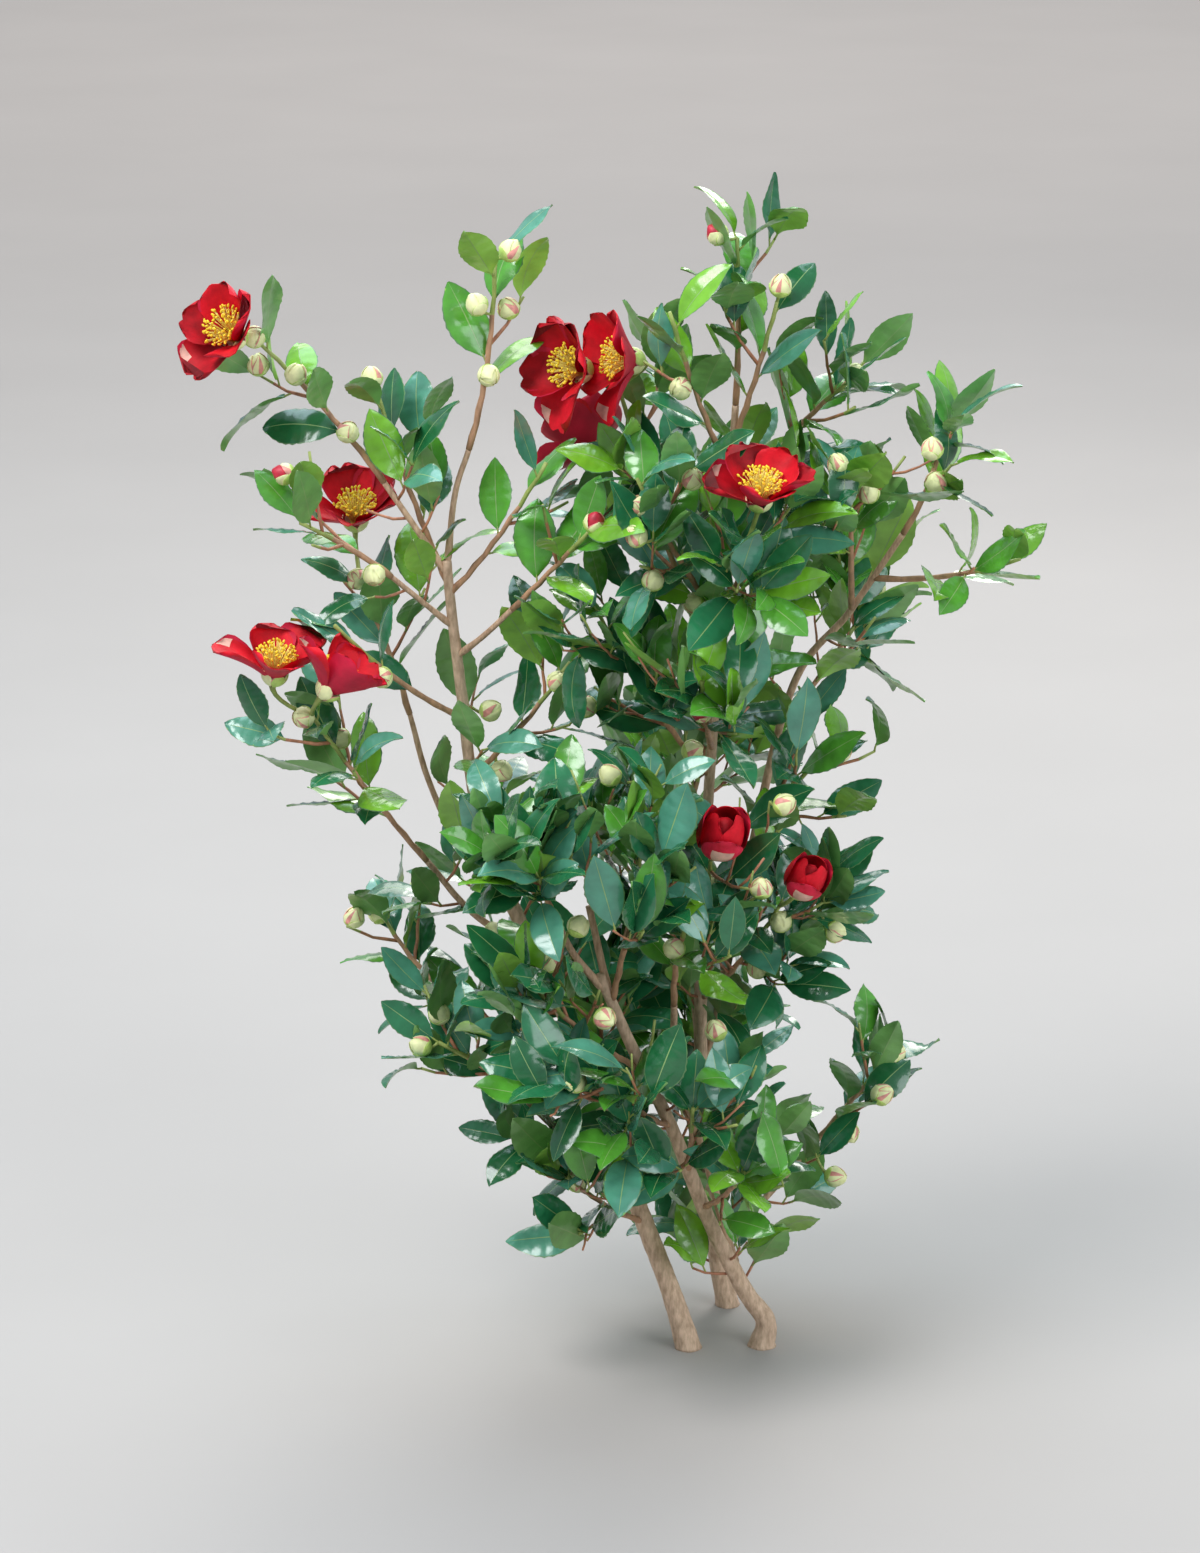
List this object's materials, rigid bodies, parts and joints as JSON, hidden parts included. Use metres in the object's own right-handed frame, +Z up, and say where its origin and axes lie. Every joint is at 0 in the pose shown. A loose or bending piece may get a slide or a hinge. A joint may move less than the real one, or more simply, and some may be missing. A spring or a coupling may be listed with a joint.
{
  "type": "camellia shrub",
  "caption": "Young evergreen camellia shrub with slender leaning stems, glossy pointed oval leaves, plump buds and single red blossoms with golden stamens.",
  "frame": {"origin": "centre of the flat cut under the right front stem, at ground level", "axes": "+Z up, -Y towards the viewer of the picture, +X to the right in the picture"},
  "size_m": [0.4935, 0.3124, 0.7008],
  "materials": {
    "bark": "pale tan bark, finely fissured",
    "foliage": "glossy evergreen leaves, cream-green buds and velvety red petals"
  },
  "bodies": {
    "root": {"bough_back": "bark", "bough_far_left": "bark", "bough_fork_right": "bark", "bough_front_centre": "bark", "bough_front_left": "bark", "bough_left_flower": "bark", "bough_left_inner": "bark", "bough_left_shoulder": "bark", "bough_left_upper": "bark", "bough_low_left": "bark", "bough_low_right": "bark", "bough_pruned": "bark", "bough_right": "bark", "bough_top_left": "bark", "bough_upper_right": "bark", "foliage_back_left": "foliage", "foliage_back_low": "foliage", "foliage_back_mid": "foliage", "foliage_back_right": "foliage", "foliage_back_upper": "foliage", "foliage_bottom_left": "foliage", "foliage_centre": "foliage", "foliage_centre_left": "foliage", "foliage_crest": "foliage", "foliage_crest_left": "foliage", "foliage_far_left": "foliage", "foliage_far_right": "foliage", "foliage_flower_centre": "foliage", "foliage_fork_inner": "foliage", "foliage_fork_left": "foliage", "foliage_fork_low": "foliage", "foliage_fork_right": "foliage", "foliage_front_centre": "foliage", "foliage_front_left": "foliage", "foliage_front_low": "foliage", "foliage_front_low_right": "foliage", "foliage_half_open": "foliage", "foliage_left_flower": "foliage", "foliage_left_inner": "foliage", "foliage_left_pair": "foliage", "foliage_left_shoulder": "foliage", "foliage_left_upper": "foliage", "foliage_left_waist": "foliage", "foliage_low_centre": "foliage", "foliage_low_left": "foliage", "foliage_low_right": "foliage", "foliage_lower_right": "foliage", "foliage_mid_right": "foliage", "foliage_right_inner": "foliage", "foliage_right_tip": "foliage", "foliage_top": "foliage", "foliage_top_inner": "foliage", "foliage_top_left": "foliage", "foliage_top_right": "foliage", "foliage_upper_left": "foliage", "foliage_upper_left_back": "foliage", "foliage_upper_right": "foliage", "stem_back": "bark", "stem_left": "bark", "stem_right": "bark"}
  },
  "joints": []
}
